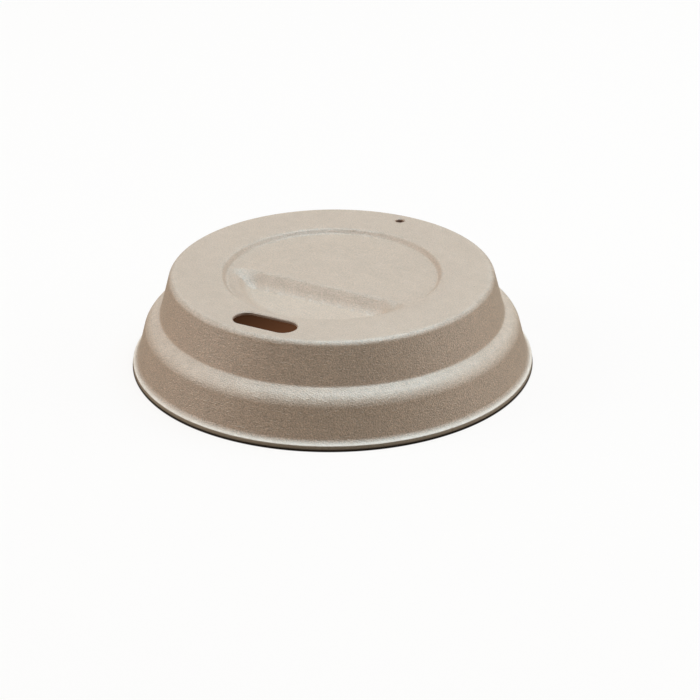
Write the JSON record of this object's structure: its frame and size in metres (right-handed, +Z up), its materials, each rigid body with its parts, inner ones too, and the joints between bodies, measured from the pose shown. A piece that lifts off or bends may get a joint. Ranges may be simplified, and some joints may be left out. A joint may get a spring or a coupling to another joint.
{
  "type": "bagasse lid",
  "caption": "Round moulded bagasse lid for a hot drinks cup, with a raised top, a stepped grip skirt, a recessed lip pocket, a sip slot and a vent hole.",
  "frame": {"origin": "centre of the rim, on the surface that the rim stands on", "axes": "+Z up along the lid's axis, the sip slot towards -Y and the vent hole towards +Y"},
  "size_m": [0.087, 0.087, 0.0206],
  "materials": {
    "bagasse_pulp": "hot pressed bagasse pulp, unbleached grey beige, matt with a fine fibre grain"
  },
  "bodies": {
    "root": {"moulded_lid": "bagasse_pulp"}
  },
  "joints": []
}
